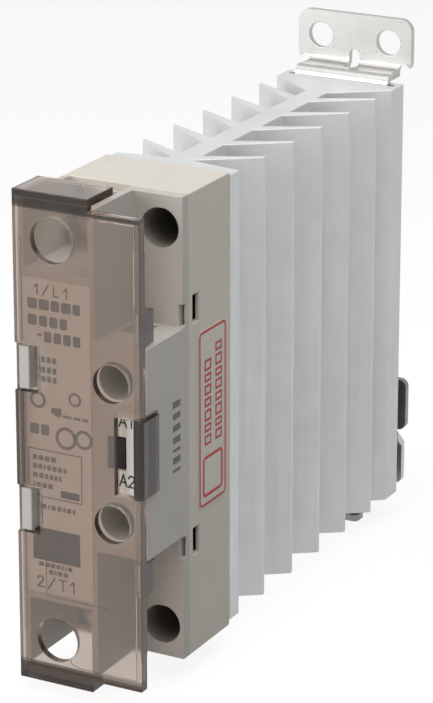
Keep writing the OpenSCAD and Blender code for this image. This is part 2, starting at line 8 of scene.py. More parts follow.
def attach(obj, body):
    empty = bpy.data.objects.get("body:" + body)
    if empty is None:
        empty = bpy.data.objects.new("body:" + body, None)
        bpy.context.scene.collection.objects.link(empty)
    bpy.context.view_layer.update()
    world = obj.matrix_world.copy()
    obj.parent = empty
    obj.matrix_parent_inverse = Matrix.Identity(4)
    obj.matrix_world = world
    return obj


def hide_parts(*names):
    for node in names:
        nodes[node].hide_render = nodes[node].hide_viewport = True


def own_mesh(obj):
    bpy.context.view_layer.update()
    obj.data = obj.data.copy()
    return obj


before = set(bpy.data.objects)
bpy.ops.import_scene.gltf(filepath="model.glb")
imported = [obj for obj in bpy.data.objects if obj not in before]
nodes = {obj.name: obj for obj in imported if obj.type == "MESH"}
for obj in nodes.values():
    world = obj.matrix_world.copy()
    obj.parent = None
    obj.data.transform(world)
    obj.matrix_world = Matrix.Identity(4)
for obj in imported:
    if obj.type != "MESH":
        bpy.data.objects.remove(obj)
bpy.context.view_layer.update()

# Device points are in millimetres: x to the right of the middle, y back from the cover's front,
# z up from the underside of the case.
MM = 0.001
SEAT_Y = 95.9               # the rail's front face
RAIL_Z = 37.5               # the rail's middle
MID_Z = 38.85               # the middle of the case's height
HALF_WIDTH = 11.25          # half the case's width
SEAM_Y = 15.5               # where the two halves of the case meet
POCKET_Z = (72.2, 5.5)      # the two round wells right of the terminals
INPUT_Z = (50.45, 27.25)    # the two input terminals
LOAD_Z = (72.05, 5.65)      # the line and load terminals
WELL_X = 7.2                # across the round wells
WELL_Y = (13.8, 24.6)       # their walls, from just inside the mouth
WELL_REACH = 3.3            # the walls are nearer than this to the wells' axes
WELL_FADE_Y = (13.7, 18.5)  # where painted shade darkens the walls
INPUT_X = 6.0               # across the input terminals
LOAD_X = -4.4               # across the line and load terminals
WINDOW_Z = (58.45, MID_Z, 19.25)    # the slots for the case's snap tabs, and the middle
LENS_Z = 38.6               # the indicator lens
RIVET_Z = (50, 68)          # the bracket's rivets
TAB_HOLE_Z = 83.35          # the two holes in the bracket's tab


def at(x, y, z):
    """The scene point of a device point."""
    return Vector((x * MM, (y - SEAT_Y) * MM, (z - RAIL_Z) * MM))


def in_device(p):
    """The device point of a scene point."""
    return Vector((p.x / MM, p.y / MM + SEAT_Y, p.z / MM + RAIL_Z))


# ---------------------------------------------------------------- materials
NOISE_LOW, NOISE_HIGH = 0.3, 0.7    # where most of a noise texture's values lie


def new_material(name):
    m = bpy.data.materials.new(name)
    m.use_nodes = True
    nt = m.node_tree
    return m, nt, nt.nodes["Principled BSDF"]


def node(nt, kind, **values):
    n = nt.nodes.new(kind)
    for k, v in values.items():
        if k in n.inputs:
            n.inputs[k].default_value = v
        else:
            setattr(n, k, v)
    return n


def coords(nt, scale=(1, 1, 1)):
    tc = node(nt, "ShaderNodeTexCoord")
    mp = node(nt, "ShaderNodeMapping")
    mp.inputs["Scale"].default_value = scale
    nt.links.new(tc.outputs["Object"], mp.inputs["Vector"])
    return mp.outputs["Vector"]


def noise(nt, vector, scale, detail=4.0, rough=0.55):
    n = node(nt, "ShaderNodeTexNoise")
    n.inputs["Scale"].default_value = scale
    n.inputs["Detail"].default_value = detail
    n.inputs["Roughness"].default_value = rough
    nt.links.new(vector, n.inputs["Vector"])
    return n.outputs["Fac"]


def ramp(nt, fac, low, high, a=NOISE_LOW, b=NOISE_HIGH):
    """A blend of two colours, from low at a to high at b."""
    r = node(nt, "ShaderNodeValToRGB")
    r.color_ramp.elements[0].position = a
    r.color_ramp.elements[1].position = b
    r.color_ramp.elements[0].color = (*low, 1)
    r.color_ramp.elements[1].color = (*high, 1)
    nt.links.new(fac, r.inputs["Fac"])
    return r.outputs["Color"]


def spread(nt, fac, low, high):
    """A noise value stretched to run from low to high."""
    m = node(nt, "ShaderNodeMapRange")
    m.inputs["From Min"].default_value = NOISE_LOW
    m.inputs["From Max"].default_value = NOISE_HIGH
    m.inputs["To Min"].default_value = low
    m.inputs["To Max"].default_value = high
    nt.links.new(fac, m.inputs["Value"])
    return m.outputs["Result"]


def bump(nt, shader, heights, strength=0.3):
    """A chain of bumps, from (height, distance) pairs."""
    last = None
    for fac, dist in heights:
        b = node(nt, "ShaderNodeBump")
        b.inputs["Strength"].default_value = strength
        b.inputs["Distance"].default_value = dist
        nt.links.new(fac, b.inputs["Height"])
        if last is not None:
            nt.links.new(last, b.inputs["Normal"])
        last = b.outputs["Normal"]
    nt.links.new(last, shader.inputs["Normal"])


def shade(rgb, k):
    return tuple(min(1.0, c * k) for c in rgb)


def mottled(nt, vector, scale, detail, rgb, vary):
    """A colour that drifts a little lighter and darker over the surface."""
    return ramp(nt, noise(nt, vector, scale, detail), shade(rgb, 1 - vary), shade(rgb, 1 + vary))


def plastic(name, rgb, rough=0.5, grain=5200, depth=0.00004, vary=0.04, spec=0.45):
    """Moulded plastic with a fine grain over a wider one."""
    m, nt, p = new_material(name)
    v = coords(nt)
    nt.links.new(mottled(nt, v, 55, 3, rgb, vary), p.inputs["Base Color"])
    fine = noise(nt, v, grain, 2, 0.6)
    nt.links.new(spread(nt, fine, rough - 0.06, rough + 0.08), p.inputs["Roughness"])
    bump(nt, p, [(fine, depth), (noise(nt, v, grain * 0.22, 2), depth * 2)], 0.35)
    p.inputs["Specular IOR Level"].default_value = spec
    return m


def metal(name, rgb, rough=0.3, stretch=(1, 1, 0.05), grain=3000, depth=0.00002, vary=0.05,
          amount=1.0, lines=0.5):
    """Metal with drawn lines along its stretched axis and specks between them."""
    m, nt, p = new_material(name)
    v = coords(nt)
    s = coords(nt, stretch)
    streak = noise(nt, s, grain, 3, 0.6)
    speck = noise(nt, v, grain * 0.9, 2, 0.5)
    nt.links.new(mottled(nt, v, 160, 4, rgb, vary), p.inputs["Base Color"])
    nt.links.new(spread(nt, streak, rough - 0.07, rough + 0.1), p.inputs["Roughness"])
    bump(nt, p, [(streak, depth * lines), (speck, depth)], 0.3)
    p.inputs["Metallic"].default_value = amount
    return m


def math_node(nt, op, a, b):
    m = node(nt, "ShaderNodeMath")
    m.operation = op
    for k, v in enumerate((a, b)):
        if isinstance(v, (int, float)):
            m.inputs[k].default_value = v
        else:
            nt.links.new(v, m.inputs[k])
    return m.outputs[0]


def mixed(nt, fac, a, b):
    """a where fac is 0 and b where it is 1; each is a colour or a socket."""
    m = node(nt, "ShaderNodeMix")
    m.data_type = "RGBA"
    nt.links.new(fac, m.inputs["Factor"])
    for name, v in (("A", a), ("B", b)):
        socket = [i for i in m.inputs if i.name == name and i.type == "RGBA"][0]
        if isinstance(v, tuple):
            socket.default_value = (*v, 1)
        else:
            nt.links.new(v, socket)
    return [o for o in m.outputs if o.type == "RGBA"][0]


def inside(nt, value, low, high):
    """1 between low and high, else 0."""
    return math_node(nt, "MULTIPLY", math_node(nt, "GREATER_THAN", value, low),
                     math_node(nt, "LESS_THAN", value, high))


def split(nt, kind):
    """The X, Y and Z of one kind of texture coordinate."""
    tc = node(nt, "ShaderNodeTexCoord")
    xyz = node(nt, "ShaderNodeSeparateXYZ")
    nt.links.new(tc.outputs[kind], xyz.inputs[0])
    return xyz


# where the cover's material changes, in device millimetres
LATCH_X = 9.93          # the latch bar's inner side
FLAP_X = 11.3           # the flap that reaches back over the block
LATCH_CORNERS = ((0, 0, MID_Z - 6.7), (0, 5, MID_Z + 6.5))    # its front low and rear high ends
HINGE_X = -9.6          # the strip on the hinge side
HINGE_HALF = 8.6        # half its height
RIM_REACH = 0.9         # the flanges' rims, inwards from the case's top and underside
# painted shade on the latch bar, and painted shade and highlights across its flap from front to
# back
LATCH_BAR_SHADE = (0.07, 0.055, 0.045)
FLAP_SHADE_AND_HIGHLIGHT = (
    (0.0, (0.12, 0.098, 0.086)), (0.34, (0.12, 0.098, 0.086)), (0.42, (0.03, 0.025, 0.022)),
    (0.74, (0.04, 0.034, 0.03)), (0.82, (0.30, 0.255, 0.225)), (1.0, (0.34, 0.29, 0.26)))


def smoked_with_painted_shade(name):
    """Smoked clear polycarbonate: light is taken off by the thickness it crosses, and a fine
    haze in the plastic scatters some of it back. Painted shade darkens the tint on the cut
    edges, the flanges' front rims and the latch, with painted highlights on the latch's flap;
    the hinge strip is given a darker tint."""
    m, nt, p = new_material(name)
    out = nt.nodes["Material Output"]
    xyz = split(nt, "Object")
    nrm = split(nt, "Normal")
    low, high = (at(*corner) for corner in LATCH_CORNERS)
    # the latch's flap: painted shade in a dark middle, between painted highlights on a lighter
    # front edge and a pale rear rim
    depth = node(nt, "ShaderNodeMapRange")
    depth.inputs["From Min"].default_value = low.y
    depth.inputs["From Max"].default_value = high.y
    nt.links.new(xyz.outputs["Y"], depth.inputs["Value"])
    flap = node(nt, "ShaderNodeValToRGB")
    stops = flap.color_ramp.elements
    while len(stops) < len(FLAP_SHADE_AND_HIGHLIGHT):
        stops.new(0.5)
    for k, (pos, rgb) in enumerate(FLAP_SHADE_AND_HIGHLIGHT):
        stops[k].position = pos
        stops[k].color = (*rgb, 1)
    nt.links.new(depth.outputs["Result"], flap.inputs["Fac"])
    on_flap = math_node(nt, "GREATER_THAN", xyz.outputs["X"], FLAP_X * MM)
    latch = mixed(nt, on_flap, LATCH_BAR_SHADE, flap.outputs["Color"])
    # where the latch's painted shade and highlights go
    painted_latch = math_node(nt, "MULTIPLY",
                         math_node(nt, "GREATER_THAN", xyz.outputs["X"], LATCH_X * MM),
                         inside(nt, xyz.outputs["Z"], low.z, high.z))
    # the cut edges on the right get painted shade: a darker tint
    edge = math_node(nt, "GREATER_THAN", nrm.outputs["X"], 0.75)
    body = mixed(nt, edge, (0.66, 0.595, 0.545), (0.13, 0.105, 0.09))
    # painted shade on the two flanges' front rims, where the eye looks along the plastic
    between = inside(nt, xyz.outputs["Z"], at(0, 0, RIM_REACH).z,
                     at(0, 0, 2 * MID_Z - RIM_REACH).z)
    rim = math_node(nt, "MULTIPLY", math_node(nt, "LESS_THAN", nrm.outputs["Y"], -0.6),
                    math_node(nt, "SUBTRACT", 1.0, between))
    body = mixed(nt, rim, body, (0.12, 0.098, 0.083))
    p.inputs["Specular IOR Level"].default_value = 0.22
    # the hinge strip between the hooks is given a darker tint
    strip = math_node(nt, "MULTIPLY",
                      math_node(nt, "LESS_THAN", xyz.outputs["X"], HINGE_X * MM),
                      inside(nt, xyz.outputs["Z"], at(0, 0, MID_Z - HINGE_HALF).z,
                             at(0, 0, MID_Z + HINGE_HALF).z))
    body = mixed(nt, strip, body, (0.27, 0.225, 0.195))
    nt.links.new(mixed(nt, painted_latch, body, latch), p.inputs["Base Color"])
    p.inputs["Transmission Weight"].default_value = 0.92
    p.inputs["IOR"].default_value = 1.45
    v = coords(nt)
    nt.links.new(spread(nt, noise(nt, v, 900, 2), 0.10, 0.15), p.inputs["Roughness"])
    bump(nt, p, [(noise(nt, v, 160, 2), 0.00002)], 0.1)
    # light reaches what lies behind the cover through this tint
    clear = node(nt, "ShaderNodeBsdfTransparent")
    clear.inputs["Color"].default_value = (0.61, 0.57, 0.54, 1)
    mix = node(nt, "ShaderNodeMixShader")
    path = node(nt, "ShaderNodeLightPath")
    nt.links.new(path.outputs["Is Shadow Ray"], mix.inputs["Fac"])
    nt.links.new(p.outputs["BSDF"], mix.inputs[1])
    nt.links.new(clear.outputs["BSDF"], mix.inputs[2])
    nt.links.new(mix.outputs["Shader"], out.inputs["Surface"])
    absorb = node(nt, "ShaderNodeVolumeAbsorption")
    absorb.inputs["Color"].default_value = (0.54, 0.44, 0.375, 1)
    absorb.inputs["Density"].default_value = 380.0
    nt.links.new(absorb.outputs["Volume"], out.inputs["Volume"])
    return m


def bore_with_painted_shade(name, near, deep):
    """Case plastic inside a deep well, with painted shade that darkens it away from the mouth."""
    m, nt, p = new_material(name)
    xyz = split(nt, "Object")
    depth = node(nt, "ShaderNodeMapRange")
    depth.inputs["From Min"].default_value = at(0, WELL_FADE_Y[0], 0).y
    depth.inputs["From Max"].default_value = at(0, WELL_FADE_Y[1], 0).y
    nt.links.new(xyz.outputs["Y"], depth.inputs["Value"])
    nt.links.new(ramp(nt, depth.outputs["Result"], near, deep, 0.0, 1.0), p.inputs["Base Color"])
    v = coords(nt)
    bump(nt, p, [(noise(nt, v, 5200, 2), 0.00004)], 0.35)
    p.inputs["Roughness"].default_value = 0.5
    p.inputs["Specular IOR Level"].default_value = 0.45
    return m


MAT = {
    "case_plastic": plastic("case_plastic", (0.745, 0.705, 0.625), 0.52),
    # the front half is a greyer plastic than the rear, and is also painted darker to stand in for
    # the shade in the pocket behind the cover
    "case_front_plastic_and_shade": plastic("case_front_plastic_and_shade", (0.58, 0.56, 0.525), 0.50),
    # painted shade inside the round wells
    "case_bore_painted_shade": bore_with_painted_shade("case_bore_painted_shade", (0.42, 0.39, 0.35), (0.16, 0.145, 0.13)),
    "smoked_cover": smoked_with_painted_shade("smoked_cover"),
    "label_print": plastic("label_print", (0.86, 0.845, 0.82), 0.45, depth=0.00002),
    "label_red": plastic("label_red", (0.72, 0.69, 0.62), 0.42, depth=0.00002),
    "lens_dark": plastic("lens_dark", (0.012, 0.012, 0.016), 0.18, depth=0.000006, vary=0.2,
                         spec=0.6),
    "lamp_amber": plastic("lamp_amber", (0.80, 0.33, 0.03), 0.12, depth=0.000004),
    "tinned_brass": metal("tinned_brass", (0.66, 0.62, 0.50), 0.30),
    "plated_steel": metal("plated_steel", (0.70, 0.69, 0.66), 0.28, (1, 1, 1)),
    "board_green": plastic("board_green", (0.03, 0.15, 0.055), 0.35),
    "component_black": plastic("component_black", (0.02, 0.02, 0.022), 0.55),
    "capacitor_film": plastic("capacitor_film", (0.45, 0.17, 0.03), 0.3),
    "resistor_body": plastic("resistor_body", (0.16, 0.34, 0.44), 0.3),
    "varistor_blue": plastic("varistor_blue", (0.02, 0.09, 0.33), 0.32),
    "ceramic_white": plastic("ceramic_white", (0.83, 0.83, 0.80), 0.6),
    "silicon_dark": metal("silicon_dark", (0.11, 0.11, 0.14), 0.18, (1, 1, 1), amount=0.6),
    "copper": metal("copper", (0.72, 0.33, 0.19), 0.32),
    "thermal_grey": plastic("thermal_grey", (0.45, 0.45, 0.45), 0.7),
    "sink_aluminium": metal("sink_aluminium", (0.70, 0.71, 0.715), 0.50, (1, 1, 0.012), 2600,
                            0.00003, 0.04, 0.45, 0.7),
    "bracket_nickel": metal("bracket_nickel", (0.47, 0.462, 0.447), 0.33, (1, 1, 0.6), 2600,
                            0.000002, 0.03),
    "slider_zinc": metal("slider_zinc", (0.23, 0.24, 0.225), 0.34, (1, 1, 0.2), 1800, 0.00001,
                         0.10),
    "spring_steel": metal("spring_steel", (0.62, 0.62, 0.62), 0.25, (1, 1, 1)),
    "ink_black": plastic("ink_black", (0.015, 0.014, 0.014), 0.5, depth=0.000004, vary=0.1),
    "ink_grey": plastic("ink_grey", (0.11, 0.105, 0.10), 0.5, depth=0.000004, vary=0.1),
    "ink_pale": plastic("ink_pale", (0.34, 0.33, 0.32), 0.5, depth=0.000004, vary=0.1),
    "ink_red": plastic("ink_red", (0.50, 0.035, 0.03), 0.5, depth=0.000004, vary=0.08),
    "ledge_shadow": plastic("ledge_shadow", (0.10, 0.08, 0.07), 0.4, depth=0.000004, vary=0.1),
    "ink_white": plastic("ink_white", (0.80, 0.80, 0.79), 0.45, depth=0.000004, vary=0.02),
}


def paint(obj, *names):
    """Gives an object one material for each name, in order."""
    obj.data.materials.clear()
    for n in names:
        obj.data.materials.append(MAT[n])


# ---------------------------------------------------------------- shape helpers
def add_object(name, bm, body, slot, *mats, smooth=True):
    """Makes bm an object that rides on a body. Without mats, the slot's material is used."""
    me = bpy.data.meshes.new(name)
    bm.normal_update()
    bm.to_mesh(me)
    bm.free()
    o = bpy.data.objects.new(name, me)
    bpy.context.scene.collection.objects.link(o)
    for p in me.polygons:
        p.use_smooth = smooth
    paint(o, *(mats or (slot,)))
    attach(o, body)
    return o


# the roundings' rules; lengths are in millimetres, where the bevel is worked out
TRUE_EDGE = math.radians(28)    # a smaller angle between faces is a curve's facet
FLAT = math.radians(0.6)        # faces that differ by less are one face
ROOM_SHARE = 0.42               # the part of the room beside an edge that its rounding takes
HARDLY = 0.05                   # a rounding below this part of the full width reads as sharp
MERGE = 2e-6                    # in metres: corners this near are one
CUT_REACH = 8e-5                # in metres: a corner this near a cutting plane is put on it
ON_CUT = 8.1e-5                 # in metres: and then lies this near it
CLOSE = 0.5                     # corners this near to each other mark a crossing


def face_width(f):
    """Twice the area over the outline's length: about the width of a long face."""
    return 2 * f.calc_area() / max(f.calc_perimeter(), 1e-9)


def facing_gap(f, e):
    """How far across a flat face the opposite part of its outline is, seen from one edge."""
    along = e.verts[1].co - e.verts[0].co
    size = along.length
    if size < 1e-4:
        return 0.0
    along /= size
    inward = f.normal.cross(along)
    if any(loop.face == f and loop.vert == e.verts[1] for loop in e.link_loops):
        inward = -inward
    origin = e.verts[0].co
    best = 1e9
    for g in f.edges:
        if g == e:
            continue
        (a, h), (b, k) = (((v.co - origin).dot(along), (v.co - origin).dot(inward))
                          for v in g.verts)
        if abs(a - b) < 1e-6:
            continue
        for t in (0.03 * size, 0.25 * size, 0.5 * size, 0.75 * size, 0.97 * size, a, b):
            r = (t - a) / (b - a)
            if -1e-6 <= r <= 1 + 1e-6 and 0.02 * size <= t <= 0.98 * size:
                d = h + r * (k - h)
                if d > 1e-3:
                    best = min(best, d)
    return best


def crossings(me, p):
    """Where the outline of a flat face crosses itself."""
    axis = max(range(3), key=lambda i: abs(p.normal[i]))
    u, v = [i for i in range(3) if i != axis]
    pts = [me.vertices[i].co for i in p.vertices]
    flat = [Vector((q[u], q[v])) for q in pts]
    n = len(flat)
    found = []
    for i in range(n):
        for j in range(i + 2, n):
            if (j + 1) % n == i:
                continue
            q = intersect_line_line_2d(flat[i], flat[(i + 1) % n], flat[j], flat[(j + 1) % n])
            if not q:
                continue
            ends = [k % n for k in (i, i + 1, j, j + 1)]
            close = [pts[k].copy() for k in ends
                     if min((pts[k] - pts[m]).length for m in ends if m != k) < CLOSE]
            size = (flat[(i + 1) % n] - flat[i]).length
            t = (q - flat[i]).length / size if size > 1e-9 else 0.0
            found += close or [pts[i].lerp(pts[(i + 1) % n], t)]
    return found


def settle(o, w):
    """Leaves an edge sharp where its rounding would not fit between its neighbours."""
    bare = BVHTree.FromPolygons([v.co for v in o.data.vertices],
                                [p.vertices for p in o.data.polygons])
    for turn in range(8):
        ev = o.evaluated_get(bpy.context.evaluated_depsgraph_get())
        me = ev.to_mesh()
        off = {v.index for v in me.vertices if (bare.find_nearest(v.co)[3] or 0) > 0.5 * w}
        roots = []
        for e in me.edges:
            a, b = e.vertices
            if (a in off) != (b in off):
                roots.append(me.vertices[b if a in off else a].co.copy())
        for p in me.polygons:
            if len(p.vertices) > 4:
                roots += crossings(me, p)
        ev.to_mesh_clear()
        if not roots:
            return
        layer = o.data.attributes["bevel_weight_edge"]
        near = 0.3 + 0.1 * turn
        for e in o.data.edges:
            if layer.data[e.index].value == 0:
                continue
            a, b = (o.data.vertices[i].co for i in e.vertices)
            for r in roots:
                q, t = intersect_point_line(r, a, b)
                if (q - r).length < near and -0.1 < t < 1.1:
                    layer.data[e.index].value = 0
                    e.use_edge_sharp = True
                    break
        o.data.update()
        bpy.context.view_layer.update()


def split_at(bm, cuts):
    """Splits faces along planes through their holes, so that no face goes round a hole."""
    for axis, value in cuts:
        place = at(*(value if i == axis else 0 for i in range(3)))
        normal = Vector([float(i == axis) for i in range(3)])
        bmesh.ops.bisect_plane(bm, geom=list(bm.verts) + list(bm.edges) + list(bm.faces),
                               dist=CUT_REACH, plane_co=place, plane_no=normal)
        for e in bm.edges:
            if all(abs(v.co[axis] - place[axis]) < ON_CUT for v in e.verts):
                e.seam = True


def shade_corners(me):
    """Each corner takes the normal of the largest faces within reach of it, so that flat faces
    stay flat, roundings blend into them, and corners left sharp look sharp."""
    around = [[] for v in me.vertices]
    for p in me.polygons:
        for v in p.vertices:
            around[v].append(p.index)
    normal = [p.normal.copy() for p in me.polygons]
    weight = [p.area ** 2 for p in me.polygons]
    outlines = [[me.vertices[v].co for v in p.vertices] for p in me.polygons]
    # strips narrower than 0.3 mm are parts of a rounding
    thin = [2 * p.area < 0.3 * sum((a - b).length for a, b in zip(pts, pts[1:] + pts[:1]))
            for p, pts in zip(me.polygons, outlines)]
    near, far = math.cos(math.radians(30)), math.cos(math.radians(50))
    corners = []
    for p in me.polygons:
        for v in p.vertices:
            total = Vector((0, 0, 0))
            for q in around[v]:
                if normal[q].dot(normal[p.index]) > (far if thin[q] and thin[p.index] else near):
                    total += normal[q] * weight[q]
            corners.append(total.normalized())
    me.normals_split_custom_set(corners)


def at_seam(p):
    """Inside the joint between the two halves of the case, where no edge is seen."""
    x, y, z = in_device(p)
    return abs(y - SEAM_Y) < 0.03 and abs(x) < HALF_WIDTH - 0.05 and 0.1 < z < 2 * MID_Z - 0.1


def refine(n, body, slot, width=0.2, segments=2, mats=(), cuts=()):
    """A copy of a CAD node with every true edge rounded, which then stands for the node."""
    bm = bmesh.new()
    bm.from_mesh(nodes[n].data)
    bmesh.ops.remove_doubles(bm, verts=bm.verts, dist=MERGE)
    split_at(bm, cuts)
    bmesh.ops.dissolve_limit(bm, angle_limit=FLAT, verts=bm.verts, edges=bm.edges,
                             use_dissolve_boundaries=False, delimit={"SEAM"})
    for e in bm.edges:
        e.seam = False
    bm.edges.index_update()
    kept = {e.index for e in bm.edges
            if n.endswith("_case") and all(at_seam(v.co) for v in e.verts)}
    # the rounding is worked out in millimetres, where the bevel's tolerances are small enough
    bmesh.ops.scale(bm, vec=(1 / MM,) * 3, verts=bm.verts)
    layer = bm.edges.layers.float.new("bevel_weight_edge")
    for e in bm.edges:
        if len(e.link_faces) != 2 or e.calc_face_angle(0) < TRUE_EDGE:
            continue
        if e.index in kept:
            e.smooth = False
            continue
        room = ROOM_SHARE * min(min(face_width(f), facing_gap(f, e)) for f in e.link_faces)
        amount = min(1.0, room / width)
        e[layer] = amount
        e.smooth = amount > HARDLY
    raw = bpy.data.meshes.new(n + "_raw")
    bm.to_mesh(raw)
    bm.free()
    raw.polygons.foreach_set("use_smooth", [True] * len(raw.polygons))
    big = bpy.data.objects.new(n + "_raw", raw)
    bpy.context.scene.collection.objects.link(big)
    b = big.modifiers.new("bevel", "BEVEL")
    b.limit_method = "WEIGHT"
    b.width = width
    b.segments = segments
    b.use_clamp_overlap = False
    b.loop_slide = False
    settle(big, width)
    me = bpy.data.meshes.new_from_object(big.evaluated_get(bpy.context.evaluated_depsgraph_get()))
    me.name = n + "_detail"
    shade_corners(me)
    me.transform(Matrix.Scale(MM, 4))
    bpy.data.objects.remove(big)
    bpy.data.meshes.remove(raw)
    o = bpy.data.objects.new(n + "_detail", me)
    bpy.context.scene.collection.objects.link(o)
    paint(o, *(mats or (slot,)))
    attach(o, body)
    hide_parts(n)
    return o


def face_into(bm, verts, mat):
    f = bm.faces.new(verts)
    f.material_index = mat


def close_line(bm, rows, mat):
    """The faces of a closed raised line, from its low outer, low inner, high outer and high
    inner rows of corners."""
    o0, i0, o1, i1 = rows
    for k in range(len(o0)):
        j = (k + 1) % len(o0)
        for q in ((o0[k], o0[j], o1[j], o1[k]), (i0[j], i0[k], i1[k], i1[j]),
                  (o1[k], o1[j], i1[j], i1[k]), (o0[j], o0[k], i0[k], i0[j])):
            face_into(bm, q, mat)


def ring_into(bm, u, v, r, thick, place, mat=0, steps=48):
    """A flat ring outline. place(a, b, h) gives a device point."""
    rings = []
    for h in (0, 1):
        for rad in (r, r - thick):
            rings.append([bm.verts.new(place(u + rad * math.cos(t), v + rad * math.sin(t), h))
                          for t in (2 * math.pi * i / steps for i in range(steps))])
    close_line(bm, rings, mat)


def outline_into(bm, points, thick, place, mat=0):
    """A closed mitred outline through points, drawn as a raised line."""
    n = len(points)
    outer, inner = [], []
    for k in range(n):
        p0, p1, p2 = (Vector(points[(k + d) % n]) for d in (-1, 0, 1))
        d1, d2 = (p1 - p0).normalized(), (p2 - p1).normalized()
        n1, n2 = Vector((-d1.y, d1.x)), Vector((-d2.y, d2.x))
        m = (n1 + n2).normalized()
        k_len = thick / max(m.dot(n1), 0.3)
        outer.append(p1)
        inner.append(p1 + m * k_len)
    rows = [[bm.verts.new(place(p.x, p.y, h)) for p in line]
            for h in (0, 1) for line in (outer, inner)]
    close_line(bm, rows, mat)


def round_corners(lo, hi, r, steps=6):
    """The outline of a rectangle between two points, with rounded corners."""
    pts = []
    for cx, cy, a0 in ((hi[0] - r, hi[1] - r, 0), (lo[0] + r, hi[1] - r, 90),
                       (lo[0] + r, lo[1] + r, 180), (hi[0] - r, lo[1] + r, 270)):
        for i in range(steps + 1):
            t = math.radians(a0 + 90 * i / steps)
            pts.append((cx + r * math.cos(t), cy + r * math.sin(t)))
    return pts


def patch_into(bm, points, place, mat=0):
    """A filled shape with a small thickness."""
    top = [bm.verts.new(place(a, b, 1)) for a, b in points]
    low = [bm.verts.new(place(a, b, 0)) for a, b in points]
    face_into(bm, top, mat)
    face_into(bm, list(reversed(low)), mat)
    for k in range(len(points)):
        j = (k + 1) % len(points)
        face_into(bm, (low[k], low[j], top[j], top[k]), mat)


def rectangle(u0, v0, u1, v1):
    return [(u0, v0), (u1, v0), (u1, v1), (u0, v1)]


def front_plane(y, t=0.02):
    """Drawing on a face that looks forward: across, then up."""
    return lambda a, b, h: at(a, y - t * h, b)


def side_plane(x, t=0.02):
    """Drawing on the right side: back, then up."""
    return lambda a, b, h: at(x + t * h, a, b)


# ---------------------------------------------------------------- case, cover and metal parts
def planes(axis, *values):
    return [(axis, v) for v in values]


rear = refine("rear_case", "root", "case_plastic", 0.22, mats=("case_plastic", "case_bore_painted_shade"),
              cuts=planes(2, *POCKET_Z, *WINDOW_Z) + planes(0, WELL_X, LOAD_X))
front = refine("front_case", "root", "case_plastic", 0.24, mats=("case_front_plastic_and_shade", "case_bore_painted_shade"),
               cuts=planes(2, *POCKET_Z, *INPUT_Z, LENS_Z) + planes(0, INPUT_X, WELL_X))
refine("terminal_cover", "cover", "smoked_cover", 0.16, 3,
       cuts=planes(2, *LOAD_Z, *INPUT_Z, MID_Z))
refine("heat_sink", "root", "sink_aluminium", 0.14, cuts=planes(2, *POCKET_Z, *RIVET_Z))
refine("din_bracket", "root", "bracket_nickel", 0.13, cuts=planes(0, 0) + planes(2, TAB_HOLE_Z))
refine("din_slider", "slider", "slider_zinc", 0.13, cuts=planes(0, 0))

# the insides of the two round wells take the bore material and its painted shade
for o in (rear, front):
    for p in o.data.polygons:
        c = in_device(p.center)
        off_axis = min(math.hypot(c.x - WELL_X, c.z - z) for z in POCKET_Z)
        if WELL_Y[0] < c.y < WELL_Y[1] and off_axis < WELL_REACH:
            p.material_index = 1

refine("bracket_rivets", "root", "plated_steel", 0.12)
for a, b in (("line_screw", "line_screw_body"), ("load_screw", "load_screw_body"),
             ("input_screw_a1", "input_a1_screw_body"), ("input_screw_a2", "input_a2_screw_body")):
    refine(a, b, "plated_steel", 0.16)
for a, b in (("line_washer", "line_washer_body"), ("load_washer", "load_washer_body"),
             ("input_washer_a1", "input_a1_washer_body"),
             ("input_washer_a2", "input_a2_washer_body")):
    refine(a, b, "plated_steel", 0.12, cuts=planes(0, LOAD_X, INPUT_X))
for a in ("line_terminal", "load_terminal", "input_terminal_a1", "input_terminal_a2"):
    refine(a, "root", "tinned_brass", 0.12,
           cuts=planes(0, LOAD_X, INPUT_X) + planes(2, *LOAD_Z, *INPUT_Z))
refine("case_screws", "root", "plated_steel", 0.12)
refine("indicator_lens", "root", "lens_dark", 0.14)
for a, s, w in (("indicator_lamp", "lamp_amber", 0.15),
                ("photocoupler", "component_black", 0.1),
                ("input_driver", "component_black", 0.1),
                ("snubber_capacitor", "capacitor_film", 0.6),
                ("snubber_resistor", "resistor_body", 0.15),
                ("surge_varistor", "varistor_blue", 0.5),
                ("circuit_board", "board_green", 0.08),
                ("ceramic_substrate", "ceramic_white", 0.06),
                ("thyristor_chips", "silicon_dark", 0.04),
                ("heat_spreader", "copper", 0.12)):
    refine(a, "root", s, w)
for a, s in (("front_label", "label_print"), ("side_label", "label_red"),
             ("thermal_sheet", "thermal_grey")):
    paint(nodes[a], s)


# ---------------------------------------------------------------- the clip's spring
def helix(name, z0, z1, r, wire, turns, x, y):
    """An upright coil of wire between two heights."""
    bm = bmesh.new()
    steps, sides = int(turns * 40), 12
    rows = []
    for i in range(steps + 1):
        t = i / steps
        a = 2 * math.pi * turns * t
        # the end coils lie closed
        s = 0.5 - 0.5 * math.cos(math.pi * min(max((t - 0.08) / 0.84, 0), 1))
        lift = 0.75 * t + 0.25 * s
        c = Vector((x + r * math.cos(a), y + r * math.sin(a),
                    z0 + wire + (z1 - z0 - 2 * wire) * lift))
        out = Vector((math.cos(a), math.sin(a), 0))
        up = Vector((0, 0, 1))
        rows.append([bm.verts.new(at(*(c + wire * (math.cos(b) * out + math.sin(b) * up))))
                     for b in (2 * math.pi * k / sides for k in range(sides))])
    for i in range(steps):
        for k in range(sides):
            j = (k + 1) % sides
            bm.faces.new((rows[i][k], rows[i][j], rows[i + 1][j], rows[i + 1][k]))
    bm.faces.new(list(reversed(rows[0])))
    bm.faces.new(rows[-1])
    bmesh.ops.recalc_face_normals(bm, faces=bm.faces)
    return add_object(name, bm, "root", "spring_steel")


SPRING_Y = 93.95
SPRING_Z = (23.8, 33.0)
spring = helix("clip_spring_coil", *SPRING_Z, 1.4, 0.3, 6.5, 0.0, SPRING_Y)
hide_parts("din_spring")
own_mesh(spring)

